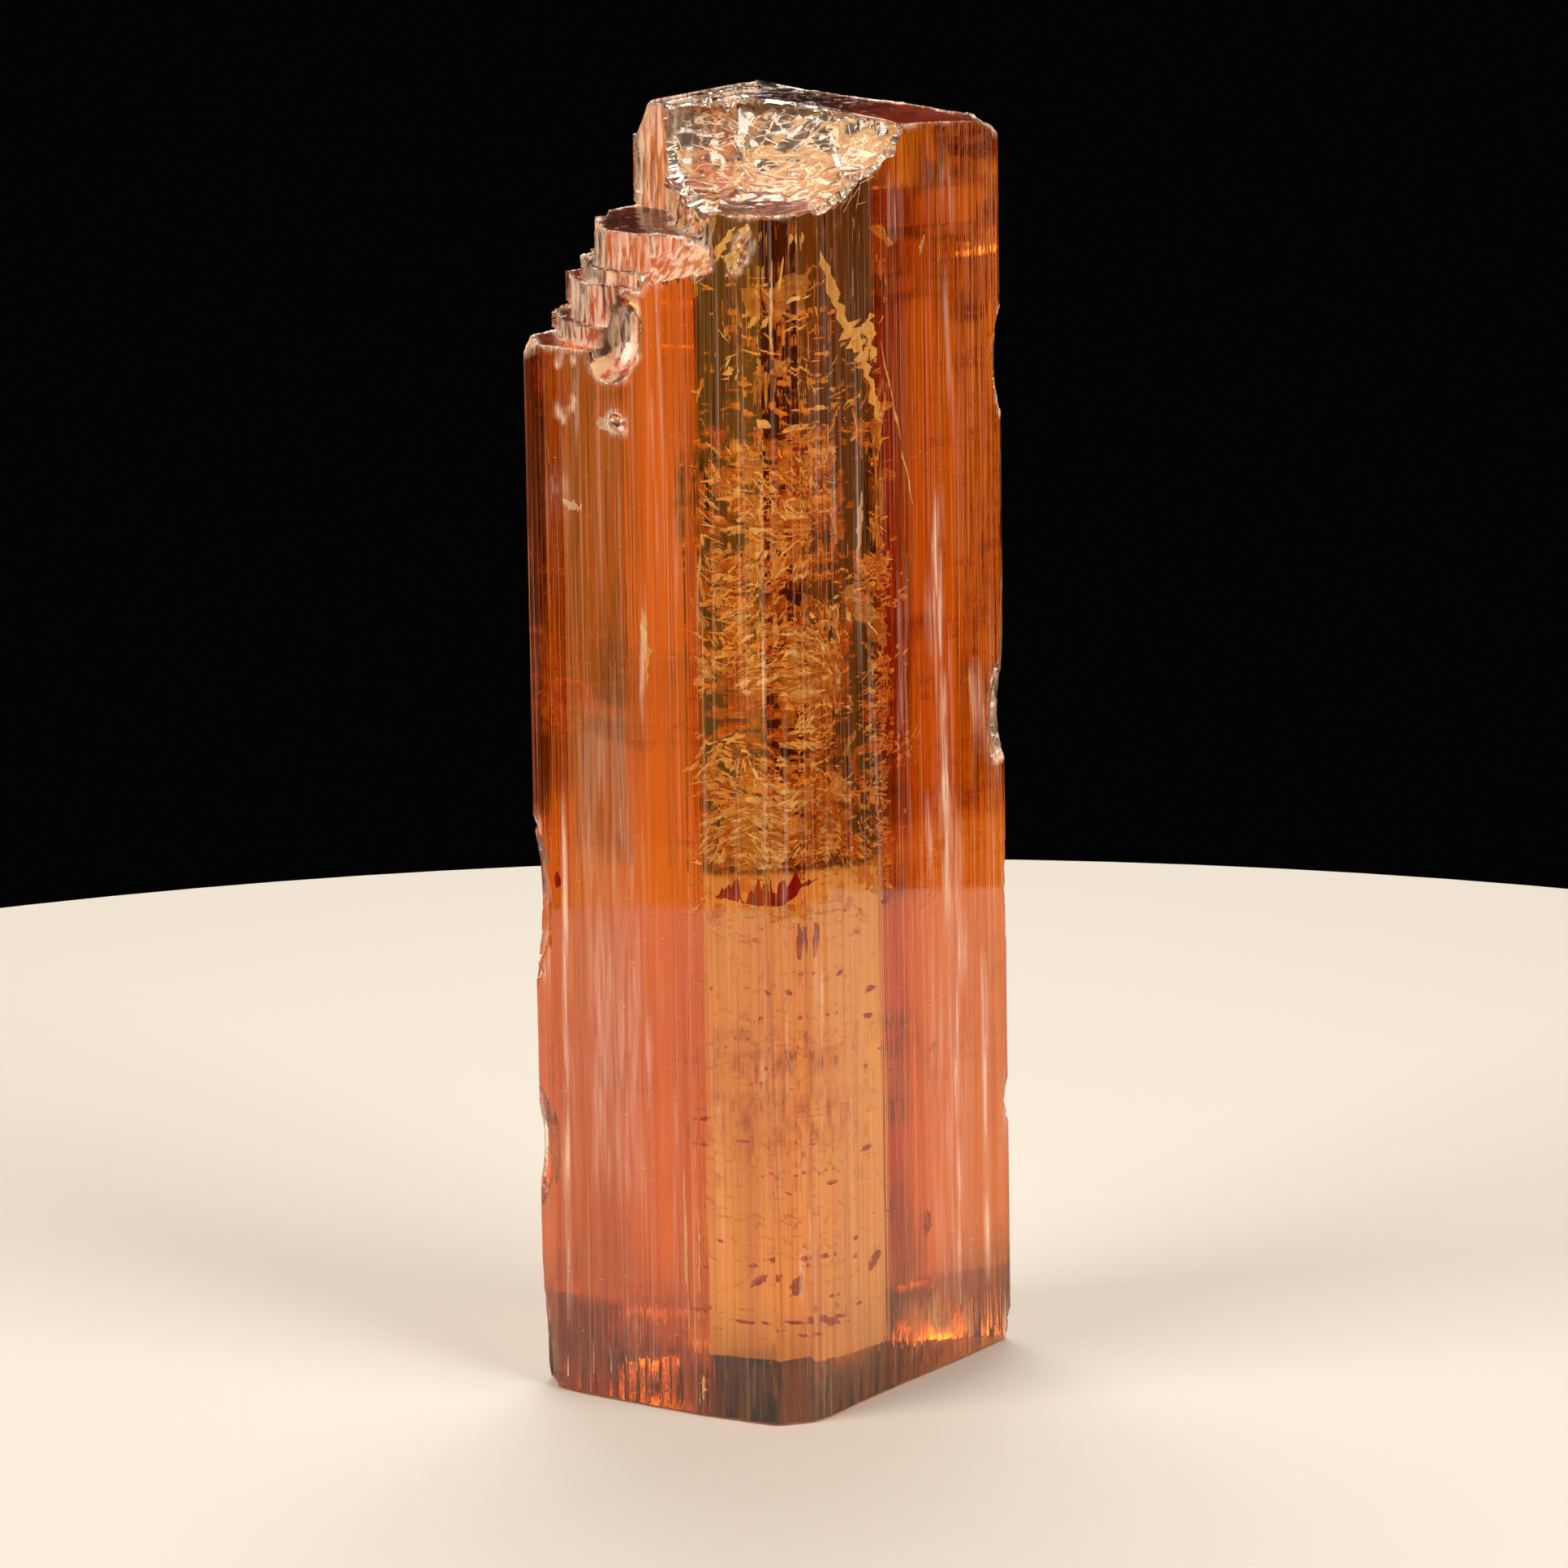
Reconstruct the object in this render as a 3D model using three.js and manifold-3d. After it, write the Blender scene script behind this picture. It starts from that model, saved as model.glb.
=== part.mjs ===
// A topaz crystal: one striated prism on a flat cleaved base, with a broken, stepped top.
// Millimetres, +Z up along the crystal's long axis, origin at the middle of the base.
import * as THREE from "three";
import { mergeVertices } from "three/addons/utils/BufferGeometryUtils.js";
import Module from "manifold-3d";

const wasm = await Module();
wasm.setup();

// ---- Driving dimensions ----

const BLANK_HEIGHT = 46; // prism before its top is broken away
const BLANK_ROWS = 11;
const TAPER = 0.018; // share of the width lost from base to top
const LEAN = -0.0025; // sideways drift of the prism towards -X, per millimetre of height
const SWAY = 0.05; // slow in-and-out wave of the prism faces
const SWAY_LENGTH = 17;

const STRIA_WIDTH = 0.46; // mean width of one growth line on the faces
const STRIA_SLOPE = 0.11; // groove depth over half its width
const CLEAR_STRIA_WIDTH = 0.9; // the same, on the smoother faces at the near edge and the back
const CLEAR_STRIA_SLOPE = 0.05;

const ABOVE = 12; // cutters reach this far above their floor

// Corners of the prism in plan, anticlockwise from the near edge (-Y).
// "clear" marks a corner that starts a smooth face; every other face is striated.
const CORNERS = [
  { at: [-0.1, -8.42], clear: true },
  { at: [1.15, -8.08], clear: true },
  { at: [1.9, -7.35], clear: true },
  { at: [2.74, -6.1] },
  { at: [6.26, -1.38] },
  { at: [7.75, 0.75] },
  { at: [8.27, 1.5] },
  { at: [8.13, 1.72] },
  { at: [7.45, 1.92], clear: true },
  { at: [1.0, 3.74], clear: true },
  { at: [-0.2, 4.08], clear: true },
  { at: [-1.3, 3.3], clear: true },
  { at: [-6.9, -1.2] },
  { at: [-7.9, -2.12] },
  { at: [-8.27, -3.0] },
  { at: [-7.75, -3.75] },
  { at: [-6.9, -4.45] },
  { at: [-2.75, -7.1], clear: true },
  { at: [-1.0, -8.02], clear: true },
];

// The plan above is drawn round the prism's growth axis. This is the middle of its depth, which
// becomes the origin.
const MIDDLE_Y = -2.159;

// The cleavage plates of the top: each is a plane z = height + x * riseX + y * riseY.
const TOP_PLATES = [
  { height: 44.7, riseX: 0.088, riseY: 0.04 },
  { height: 44.54, riseX: -0.13, riseY: 0.04 },
];

// The worn rim at the right end of the top: flats that pass through (x, z) and fall to the right.
const SHOULDER = [
  { x: 7.6, z: 43.4, fall: 0.55 },
  { x: 7.85, z: 43.2, fall: 1.3 },
  { x: 8.08, z: 42.8, fall: 3.2 },
];

// Low steps on the top plate, parallel to the back left face: distance from that face and drop.
const GROWTH_STEPS = [
  { from: -1, to: 0.55, drop: 0.1 },
  { from: 1.5, to: 2.2, drop: 0.13 },
  { from: 3.4, to: 3.8, drop: 0.11 },
];
const BACK_LEFT_FACE = { start: [-7.9, -2.0], end: [1.2, 5.1] };

// Steps that go down to the left. Each takes away what stands above its floor, outside the line
// of its riser. The line runs from the back of the crystal to its front.
const TERRACES = [
  {
    through: [-3.6, -2.6, 40.62],
    riseX: 0.05,
    riseY: 0.07,
    riser: [
      [-4.5, 9],
      [-4.45, 0.9],
      [-4.2, 0.1],
      [-3.4, -0.7],
      [-3.1, -2.6],
      [-3.15, -4.6],
      [-2.2, -6.2],
      [-1.35, -9.5],
    ],
  },
  {
    through: [-5.5, -2, 39.25],
    riseX: 0.04,
    riseY: 0.06,
    riser: [
      [-5.95, 9],
      [-5.95, 2],
      [-6.0, 0.4],
      [-5.8, -1.0],
      [-5.85, -2.6],
      [-5.35, -3.9],
      [-4.5, -4.7],
      [-3.9, -5.15],
      [-3.85, -9.5],
    ],
  },
  {
    through: [-5.5, -3, 38.7],
    riseX: 0.03,
    riseY: 0.05,
    riser: [
      [-6.15, 9],
      [-6.15, 1],
      [-6.2, -1.2],
      [-5.95, -3.3],
      [-5.5, -4.2],
      [-4.6, -4.85],
      [-4.15, -5.5],
      [-4.05, -9.5],
    ],
  },
  {
    through: [-6, -3.5, 37.32],
    riseX: 0.12,
    riseY: 0.17,
    riser: [
      [-6.75, 9],
      [-6.7, -0.5],
      [-6.65, -2.6],
      [-6.05, -3.8],
      [-5.3, -4.45],
      [-4.75, -5.2],
      [-4.45, -6.0],
      [-4.4, -9.5],
    ],
  },
  {
    through: [-7.4, -3, 36.68],
    riseX: 0.04,
    riseY: 0.12,
    riser: [
      [-7.25, 9],
      [-7.2, -1.6],
      [-7.0, -2.8],
      [-6.4, -3.7],
      [-5.7, -4.4],
      [-5.1, -4.9],
      [-4.8, -5.6],
      [-4.7, -9.5],
    ],
  },
];
const TERRACE_OUTSIDE = -14; // how far left a terrace cutter reaches

// Slanting facets beside the steps: a plane through a point, cut only inside a plan outline.
const FACETS = [
  {
    through: [-3.64, -6.58, 38.75],
    riseX: 0.75,
    riseY: 0.8,
    plan: [
      [-4.1, -9.5],
      [-1.6, -9.5],
      [-1.75, -6.9],
      [-2.4, -6.0],
      [-3.3, -5.5],
      [-4.1, -5.1],
    ],
  },
  {
    through: [-4.2, 0.9, 43.6],
    riseX: 2.6,
    riseY: -0.1,
    plan: [
      [-6, -1.2],
      [-3.6, -1.2],
      [-3.6, 9],
      [-6, 9],
    ],
  },
  {
    through: [-5.9, -1.5, 40.35],
    riseX: 1.6,
    riseY: 0.25,
    plan: [
      [-9, -9],
      [-5.2, -3.4],
      [-5.2, 9],
      [-9, 9],
    ],
  },
  {
    through: [-8.0, -3.0, 36.55],
    riseX: 1.1,
    riseY: 0.35,
    plan: [
      [-10, -9],
      [-7.3, -9],
      [-7.3, 3],
      [-10, 3],
    ],
  },
];

// Shell-shaped breaks, each an ellipsoid. "lean" tips it sideways, then "turn" swings it in plan.
// The first three make the large hollow in the near side of the top.
const SHELL_BREAKS = [
  { centre: [-0.05, -6.6, 44.5], radii: [4.15, 5.4, 3.4], lean: 0, turn: 0 },
  { centre: [2.3, -5.6, 44.9], radii: [2.5, 4.0, 2.75], lean: 0.15, turn: -0.3 },
  { centre: [-1.7, -4.0, 43.8], radii: [2.1, 2.8, 2.25], lean: -0.1, turn: 0.35 },
  { centre: [-1.0, -8.25, 39.95], radii: [0.42, 0.5, 1.1], lean: 0.6, turn: -0.4 },
  { centre: [3.7, -5.4, 42.5], radii: [0.9, 0.5, 0.9], lean: 0.3, turn: 0.9 },
  { centre: [4.6, -4.1, 42.9], radii: [0.7, 0.35, 0.8], lean: -0.2, turn: 0.9 },
  { centre: [-5.35, -5.85, 37.05], radii: [1.15, 1.6, 1.68], lean: 0.15, turn: -0.55 },
  { centre: [-7.0, -4.75, 35.3], radii: [0.62, 0.5, 1.7], lean: 0.08, turn: -0.6 },
  { centre: [-5.1, -5.7, 34.1], radii: [0.42, 0.35, 0.3], lean: 0.3, turn: -0.6 },
  { centre: [-7.75, -4.8, 31.7], radii: [0.8, 0.95, 1.0], lean: 0, turn: -0.5 },
  { centre: [-5.15, 0.3, 42.75], radii: [0.8, 1.6, 0.75], lean: 0, turn: 0.2 },
  { centre: [-5.1, 0.9, 41.6], radii: [0.75, 1.4, 0.7], lean: 0.2, turn: -0.3 },
  { centre: [7.1, -0.7, 25.0], radii: [1.3, 0.42, 4.8], lean: 0.03, turn: 0.95 },
  { centre: [8.0, 1.2, 22.8], radii: [0.9, 0.4, 1.8], lean: 0.05, turn: 1.15 },
];

// Chips along the upright edges: a point on the edge, how deep the chip goes, half its length,
// how wide a curve it has across the edge and how far it leans along the edge.
const EDGE_CHIPS = [
  { edge: [8.27, 1.5], z: 24.4, depth: 0.38, half: 4.0, round: 4.5, lean: 0.03 },
  { edge: [8.27, 1.5], z: 23.3, depth: 0.5, half: 1.7, round: 3.6, lean: -0.25 },
  { edge: [8.27, 1.5], z: 16.4, depth: 0.3, half: 2.4, round: 4.2, lean: 0.12 },
  { edge: [8.27, 1.5], z: 8.8, depth: 0.36, half: 0.9, round: 3.4, lean: 0.3 },
  { edge: [8.27, 1.5], z: 0.1, depth: 0.3, half: 1.0, round: 2.4, lean: -0.2 },
  { edge: [-8.25, -2.9], z: 17.3, depth: 0.52, half: 3.0, round: 2.6, lean: 0.08 },
  { edge: [-8.25, -3.0], z: -0.6, depth: 0.4, half: 5.2, round: 2.2, lean: 0.0 },
  { edge: [-0.35, 4.0], z: 30.5, depth: 0.3, half: 2.6, round: 1.6, lean: -0.15 },
  { edge: [7.75, 1.84], z: 35.0, depth: 0.3, half: 1.6, round: 1.4, lean: 0.2 },
  { edge: [-7.25, -1.4], z: 8.2, depth: 0.25, half: 1.4, round: 1.6, lean: -0.2 },
];

// ---- Solids ----

// A small repeatable random source, so the growth lines are the same at each run.
let seed = 7;
function random() {
  seed = (seed * 16807) % 2147483647;
  return seed / 2147483647;
}

// Turns a closed geometry into a solid that can be cut.
function solidOf(geometry) {
  const bare = geometry.clone();
  bare.deleteAttribute("normal");
  bare.deleteAttribute("uv");
  const merged = mergeVertices(bare, 1e-4);
  return new wasm.Manifold(
    new wasm.Mesh({
      numProp: 3,
      vertProperties: new Float32Array(merged.attributes.position.array),
      triVerts: new Uint32Array(merged.index.array),
    }),
  );
}

function geometryOf(solid) {
  const mesh = solid.getMesh();
  return new THREE.BufferGeometry()
    .setAttribute("position", new THREE.BufferAttribute(mesh.vertProperties, 3))
    .setIndex(new THREE.BufferAttribute(mesh.triVerts, 1));
}

// The plan outline, each face broken into shallow V grooves that become its growth lines.
function striatedOutline() {
  const points = [];
  CORNERS.forEach((corner, i) => {
    const start = new THREE.Vector2(...corner.at);
    const end = new THREE.Vector2(...CORNERS[(i + 1) % CORNERS.length].at);
    const along = end.clone().sub(start);
    const inward = new THREE.Vector2(-along.y, along.x).normalize();
    const width = corner.clear ? CLEAR_STRIA_WIDTH : STRIA_WIDTH;
    const slope = corner.clear ? CLEAR_STRIA_SLOPE : STRIA_SLOPE;
    const count = Math.max(1, Math.round(along.length() / width));
    const half = along.length() / count / 2;
    for (let stria = 0; stria < count; stria++) {
      const ridge = (stria + (stria ? 0.5 * (random() - 0.5) : 0)) / count;
      points.push(start.clone().addScaledVector(along, ridge));
      const groove = (stria + 0.35 + 0.3 * random()) / count;
      const depth = half * slope * (0.3 + random());
      if (count > 1)
        points.push(start.clone().addScaledVector(along, groove).addScaledVector(inward, depth));
    }
  });
  return points;
}

// The unbroken prism, with a slight taper and a slow wave along its length.
function blank() {
  const geometry = new THREE.ExtrudeGeometry(new THREE.Shape(striatedOutline()), {
    depth: BLANK_HEIGHT,
    steps: BLANK_ROWS,
    bevelEnabled: false,
  });
  const place = geometry.attributes.position;
  for (let i = 0; i < place.count; i++) {
    const [x, y, z] = [place.getX(i), place.getY(i), place.getZ(i)];
    const turn = Math.atan2(y, x);
    const wave = SWAY * Math.sin((2 * Math.PI * z) / SWAY_LENGTH + 2 * turn);
    const scale = 1 - (TAPER * z) / BLANK_HEIGHT + wave / Math.hypot(x, y);
    place.setXY(i, x * scale + LEAN * z, y * scale);
  }
  return solidOf(geometry);
}

// Everything above the plane z = height + x * riseX + y * riseY.
function abovePlane({ height, riseX, riseY }) {
  const size = 60;
  const geometry = new THREE.BoxGeometry(size, size, size).translate(0, 0, size / 2);
  const normal = new THREE.Vector3(-riseX, -riseY, 1).normalize();
  const tilt = new THREE.Quaternion().setFromUnitVectors(new THREE.Vector3(0, 0, 1), normal);
  return solidOf(geometry.applyQuaternion(tilt).translate(0, 0, height));
}

// Everything above a sloping floor inside a plan outline.
function aboveFloor(plan, [atX, atY, atZ], riseX, riseY) {
  const shape = new THREE.Shape(plan.map((corner) => new THREE.Vector2(...corner)));
  const geometry = new THREE.ExtrudeGeometry(shape, { depth: ABOVE, bevelEnabled: false });
  const place = geometry.attributes.position;
  for (let i = 0; i < place.count; i++) {
    const lift = (place.getX(i) - atX) * riseX + (place.getY(i) - atY) * riseY;
    place.setZ(i, place.getZ(i) + atZ + lift);
  }
  return solidOf(geometry);
}

// One terrace: its riser line closed on the outside.
function terrace({ through, riseX, riseY, riser }) {
  const outside = [
    [TERRACE_OUTSIDE, riser[riser.length - 1][1]],
    [TERRACE_OUTSIDE, riser[0][1]],
  ];
  return aboveFloor([...riser, ...outside], through, riseX, riseY);
}

// One low step of the top plate, a strip alongside the back left face.
function growthStep({ from, to, drop }) {
  const start = new THREE.Vector2(...BACK_LEFT_FACE.start);
  const end = new THREE.Vector2(...BACK_LEFT_FACE.end);
  const inward = new THREE.Vector2(end.y - start.y, start.x - end.x).normalize();
  const plan = [
    start.clone().addScaledVector(inward, from),
    start.clone().addScaledVector(inward, to),
    end.clone().addScaledVector(inward, to),
    end.clone().addScaledVector(inward, from),
  ];
  const { height, riseX, riseY } = TOP_PLATES[0];
  return aboveFloor(
    plan.map((corner) => corner.toArray()),
    [0, 0, height - drop],
    riseX,
    riseY,
  );
}

// One flat of the worn right-hand rim.
function shoulderFlat({ x, z, fall }) {
  return abovePlane({ height: z + x * fall, riseX: -fall, riseY: 0 });
}

function shellBreak({ centre, radii, lean, turn }) {
  const around = radii[1] > 3 ? 32 : 16;
  const geometry = new THREE.SphereGeometry(1, around, Math.round(around * 0.6));
  return solidOf(geometry.scale(...radii).rotateY(lean).rotateZ(turn).translate(...centre));
}

function edgeChip({ edge, z, depth, half, round, lean }) {
  const out = new THREE.Vector2(...edge).normalize();
  const reach = 1 - depth / round;
  const centre = new THREE.Vector2(...edge).addScaledVector(out, round - depth);
  const geometry = new THREE.SphereGeometry(1, 24, 14)
    .scale(round, round, half / Math.sqrt(1 - reach * reach))
    .rotateX(lean)
    .rotateZ(Math.atan2(out.y, out.x));
  return solidOf(geometry.translate(centre.x, centre.y, z));
}

// ---- The crystal ----

const BREAKS = [
  ...TOP_PLATES.map(abovePlane),
  ...SHOULDER.map(shoulderFlat),
  ...GROWTH_STEPS.map(growthStep),
  ...TERRACES.map(terrace),
  ...FACETS.map(({ plan, through, riseX, riseY }) => aboveFloor(plan, through, riseX, riseY)),
  ...SHELL_BREAKS.map(shellBreak),
  ...EDGE_CHIPS.map(edgeChip),
];

const broken = BREAKS.reduce((solid, cutter) => solid.subtract(cutter), blank());
const crystalSolid = broken.translate([0, -MIDDLE_Y, 0]);

const topaz = new THREE.MeshStandardMaterial({ color: 0xc8641e, roughness: 0.15, metalness: 0 });

const crystal = new THREE.Mesh(geometryOf(crystalSolid), topaz);
crystal.name = "topaz_crystal";

const specimen = new THREE.Group();
specimen.add(crystal);

export default specimen;
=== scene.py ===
"""A topaz crystal on a round pale floor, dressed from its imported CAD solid.

Metres, +Z up. Places on the crystal are written in millimetres, times MM or where a comment says so.
"""

import itertools
import math

import bpy
import numpy as np
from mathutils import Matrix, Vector
from mathutils.bvhtree import BVHTree
from mathutils.kdtree import KDTree


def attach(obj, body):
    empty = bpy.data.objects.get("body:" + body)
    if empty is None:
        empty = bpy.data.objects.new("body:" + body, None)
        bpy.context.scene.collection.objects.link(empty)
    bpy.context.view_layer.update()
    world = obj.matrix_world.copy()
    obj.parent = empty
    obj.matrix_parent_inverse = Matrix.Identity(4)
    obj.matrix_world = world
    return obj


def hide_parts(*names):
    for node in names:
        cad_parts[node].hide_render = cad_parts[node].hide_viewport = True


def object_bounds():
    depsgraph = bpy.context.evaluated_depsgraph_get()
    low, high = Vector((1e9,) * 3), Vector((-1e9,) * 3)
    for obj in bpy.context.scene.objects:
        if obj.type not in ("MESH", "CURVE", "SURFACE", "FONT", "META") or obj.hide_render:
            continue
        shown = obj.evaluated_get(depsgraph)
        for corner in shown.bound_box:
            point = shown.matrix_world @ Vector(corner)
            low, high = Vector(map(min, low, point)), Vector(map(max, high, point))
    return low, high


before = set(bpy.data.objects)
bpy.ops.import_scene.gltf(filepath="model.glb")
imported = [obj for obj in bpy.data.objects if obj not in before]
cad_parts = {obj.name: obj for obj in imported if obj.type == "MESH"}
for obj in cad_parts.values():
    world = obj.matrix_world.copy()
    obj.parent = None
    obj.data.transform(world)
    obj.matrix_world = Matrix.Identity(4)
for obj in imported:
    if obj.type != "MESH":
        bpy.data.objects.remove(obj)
CAD_BOX = [list(corner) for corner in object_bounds()]
MM = 0.001
IOR = 1.62  # topaz

# ---- Camera: a close view from the near edge, a little above ----

CAMERA_AT = Vector((0.39, -191.93, 60.08)) * MM
CAMERA_TO = Vector((0.39, 0.134, 21.0)) * MM
CAMERA_ROLL = math.radians(-0.75)

lens = bpy.data.cameras.new("camera")
lens.lens, lens.sensor_width = 130.4, 36.0
lens.clip_start, lens.clip_end = 0.005, 5.0
camera = bpy.data.objects.new("camera", lens)
bpy.context.scene.collection.objects.link(camera)
camera.location = CAMERA_AT
camera.rotation_euler = (CAMERA_TO - CAMERA_AT).to_track_quat("-Z", "Y").to_euler()
camera.rotation_euler.rotate_axis("Z", CAMERA_ROLL)
bpy.context.scene.camera = camera


# ---- Noise ----

HASH_X, HASH_Y, HASH_Z, HASH_SEED = 374761393, 668265263, 2246822519, 3266489917
HASH_MIX = 1274126177


def lattice(x, y, z, seed):
    """A repeatable random number from -1 to 1 for each whole-numbered point."""
    n = (x * HASH_X + y * HASH_Y + z * HASH_Z + seed * HASH_SEED) & 0xFFFFFFFF
    n = ((n ^ (n >> 13)) * HASH_MIX) & 0xFFFFFFFF
    return ((n ^ (n >> 16)) & 0xFFFF) / 32767.5 - 1.0


def noise(points, cell, seed):
    """Smooth noise from -1 to 1. cell is its size in metres, one number or one for each axis."""
    at = points / np.asarray(cell)
    low = np.floor(at).astype(np.int64)
    part = at - low
    part = part * part * (3 - 2 * part)
    total = np.zeros(len(points))
    for corner in itertools.product((0, 1), repeat=3):
        weight = np.prod(np.where(corner, part, 1 - part), axis=1)
        total += weight * lattice(*(low + corner).T, seed)
    return total


def step(low, high, value):
    """0 below low and 1 above high, with a smooth rise between. low may be the larger."""
    t = np.clip((value - low) / (high - low), 0, 1)
    return t * t * (3 - 2 * t)


# ---- The crystal's own mesh ----

HEIGHT = 46.0 * MM  # of the unbroken prism
TAPER = 0.018  # share by which the section narrows over that height
LEAN = -0.0025  # shift in x for each unit of height
# Corners of the prism in plan, round its growth axis, in millimetres, anticlockwise.
CORNERS = np.array([
    (-0.1, -8.42), (1.15, -8.08), (1.9, -7.35), (2.74, -6.1), (6.26, -1.38), (7.75, 0.75),
    (8.27, 1.5), (8.13, 1.72), (7.45, 1.92), (1.0, 3.74), (-0.2, 4.08), (-1.3, 3.3),
    (-6.9, -1.2), (-7.9, -2.12), (-8.27, -3.0), (-7.75, -3.75), (-6.9, -4.45),
    (-2.75, -7.1), (-1.0, -8.02),
]) * MM
AXIS_Y = 2.159 * MM  # where the growth axis stands, behind the origin

WALL_CELL = np.array((0.1, 0.1, 2.4)) * MM  # longest edges of the refined mesh
BREAK_CELL = 0.17 * MM
RIM_CELL, RIM_WIDTH, RIM_FROM = 0.2 * MM, 0.25 * MM, 31 * MM  # walls beside the broken part's edges
REFINE_ROUNDS = 8
SHARP_ANGLE = math.radians(28)
EDGE_STEP = 0.08 * MM  # between the points along sharp edges
BREAK, WALL, BASE = 0, 1, 2  # kinds of face
TINY = 1e-20  # keeps a zero length out of a division
SAME_PLACE = 1e-8  # points nearer than this are one


def refine(points, faces, kinds, edge_tree):
    """Splits edges until few are longer than their cell: tall cells on walls, small ones on breaks."""
    for _ in range(REFINE_ROUNDS):
        ends = np.sort(faces[:, [[0, 1], [1, 2], [2, 0]]], axis=2).reshape(-1, 2)
        edges, which = np.unique(ends, axis=0, return_inverse=True)
        which = which.reshape(-1, 3)
        on_break = np.zeros(len(edges), bool)
        on_break[which[kinds == BREAK].ravel()] = True
        base_only = np.ones(len(edges), bool)
        base_only[which[kinds != BASE].ravel()] = False
        span = points[edges[:, 1]] - points[edges[:, 0]]
        size = np.linalg.norm(span / WALL_CELL, axis=1)
        middles = points[edges].mean(axis=1)
        long = np.linalg.norm(span, axis=1)
        for edge in np.flatnonzero(~on_break & (middles[:, 2] > RIM_FROM) & (long > RIM_CELL)):
            if edge_tree.find(middles[edge])[2] < long[edge] / 2 + RIM_WIDTH:
                size[edge] = 2  # over 1, so it is split
        size = np.where(on_break, long / BREAK_CELL, size)
        split = (size > 1) & ~base_only
        middle = np.full(len(edges), -1)
        middle[split] = len(points) + np.arange(split.sum())
        points = np.vstack((points, points[edges[split]].mean(axis=1)))
        m = middle[which]
        count = (m >= 0).sum(axis=1)
        made, kind = [faces[count == 0]], [kinds[count == 0]]
        for turn in range(3):
            f, h = np.roll(faces, -turn, axis=1), np.roll(m, -turn, axis=1)
            one = (count == 1) & (h[:, 0] >= 0)
            a, b, c, p = f[one, 0], f[one, 1], f[one, 2], h[one, 0]
            made += [np.stack((a, p, c), 1), np.stack((p, b, c), 1)]
            kind += [kinds[one]] * 2
            two = (count == 2) & (h[:, 2] < 0)
            a, b, c, p, q = f[two, 0], f[two, 1], f[two, 2], h[two, 0], h[two, 1]
            made += [np.stack((p, b, q), 1), np.stack((a, p, q), 1), np.stack((a, q, c), 1)]
            kind += [kinds[two]] * 3
        three = count == 3
        a, b, c = faces[three].T
        p, q, r = m[three].T
        made += [np.stack(t, 1) for t in ((a, p, r), (p, b, q), (r, q, c), (p, q, r))]
        kind += [kinds[three]] * 4
        faces, kinds = np.vstack(made), np.concatenate(kind)
    return points, faces


def outline_distance(points):
    """How far each point is inside the unbroken prism's side, in plan, and its place in that plan."""
    far = 1.0  # metres, more than any distance here
    scale = 1 - TAPER * points[:, 2] / HEIGHT
    plan = np.stack(((points[:, 0] - LEAN * points[:, 2]) / scale, (points[:, 1] - AXIS_Y) / scale), 1)
    best, inward = np.full(len(points), far), np.ones(len(points))
    for start, end in zip(CORNERS, np.roll(CORNERS, -1, axis=0)):
        along = end - start
        share = np.clip((plan - start) @ along / (along @ along), 0, 1)
        away = np.linalg.norm(plan - start - share[:, None] * along, axis=1)
        nearer = away < best
        side = (plan - start) @ (-along[1], along[0])
        best, inward = np.where(nearer, away, best), np.where(nearer, np.sign(side), inward)
    return best * inward, plan


def unit(vectors):
    """The vectors at length 1."""
    return vectors / np.maximum(np.linalg.norm(vectors, axis=1), TINY)[:, None]


def face_normals(points, faces):
    """Each triangle's normal, as long as twice its area."""
    a, b, c = points[faces[:, 0]], points[faces[:, 1]], points[faces[:, 2]]
    return np.cross(b - a, c - a)


def vertex_normals(points, faces):
    """Unit normals at the points, from the triangles round each by their areas."""
    areas = face_normals(points, faces)
    total = np.zeros_like(points)
    for corner in range(3):
        np.add.at(total, faces[:, corner], areas)
    return unit(total)


def cad_triangles(node):
    """A CAD node's points and triangles, with the points at one place made one."""
    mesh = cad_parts[node].data
    points = np.array([v.co for v in mesh.vertices], float)
    mesh.calc_loop_triangles()
    faces = np.array([t.vertices for t in mesh.loop_triangles])
    keys, first, same = np.unique(
        np.round(points / SAME_PLACE).astype(np.int64), axis=0, return_index=True, return_inverse=True
    )
    faces = same.reshape(-1)[faces]
    keep = (faces[:, 0] != faces[:, 1]) & (faces[:, 1] != faces[:, 2]) & (faces[:, 2] != faces[:, 0])
    return points[first], faces[keep]


def face_kinds(points, faces):
    """Whether each face lies on a break, a wall of the prism or the base."""
    tilt = np.abs(unit(face_normals(points, faces))[:, 2])
    centres = points[faces].mean(axis=1)
    from_side, _ = outline_distance(centres)
    kinds = np.where((np.abs(from_side) < 0.2 * MM) & (tilt < 0.15), WALL, BREAK)
    kinds[(tilt > 0.99) & (centres[:, 2] < 0.01 * MM)] = BASE
    return kinds


def sharp_edge_points(points, faces, kinds):
    """Points along the broken part's sharp edges."""
    across = unit(face_normals(points, faces))
    ends = np.sort(faces[:, [[0, 1], [1, 2], [2, 0]]], axis=2).reshape(-1, 2)
    edges, which = np.unique(ends, axis=0, return_inverse=True)
    owner = np.full((len(edges), 2), -1)
    for place, edge in enumerate(which.reshape(-1)):
        owner[edge, 0 if owner[edge, 0] < 0 else 1] = place // 3
    one, two = owner.T
    turned = (across[one] * across[two]).sum(axis=1) < math.cos(SHARP_ANGLE)
    chosen = edges[turned & ((kinds[one] == BREAK) | (kinds[two] == BREAK))]
    found = []
    for start, end in points[chosen]:
        count = max(1, int(np.linalg.norm(end - start) / EDGE_STEP))
        found.append(start + (end - start) * (np.arange(count) + 0.5)[:, None] / count)
    return np.vstack(found)


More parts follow.
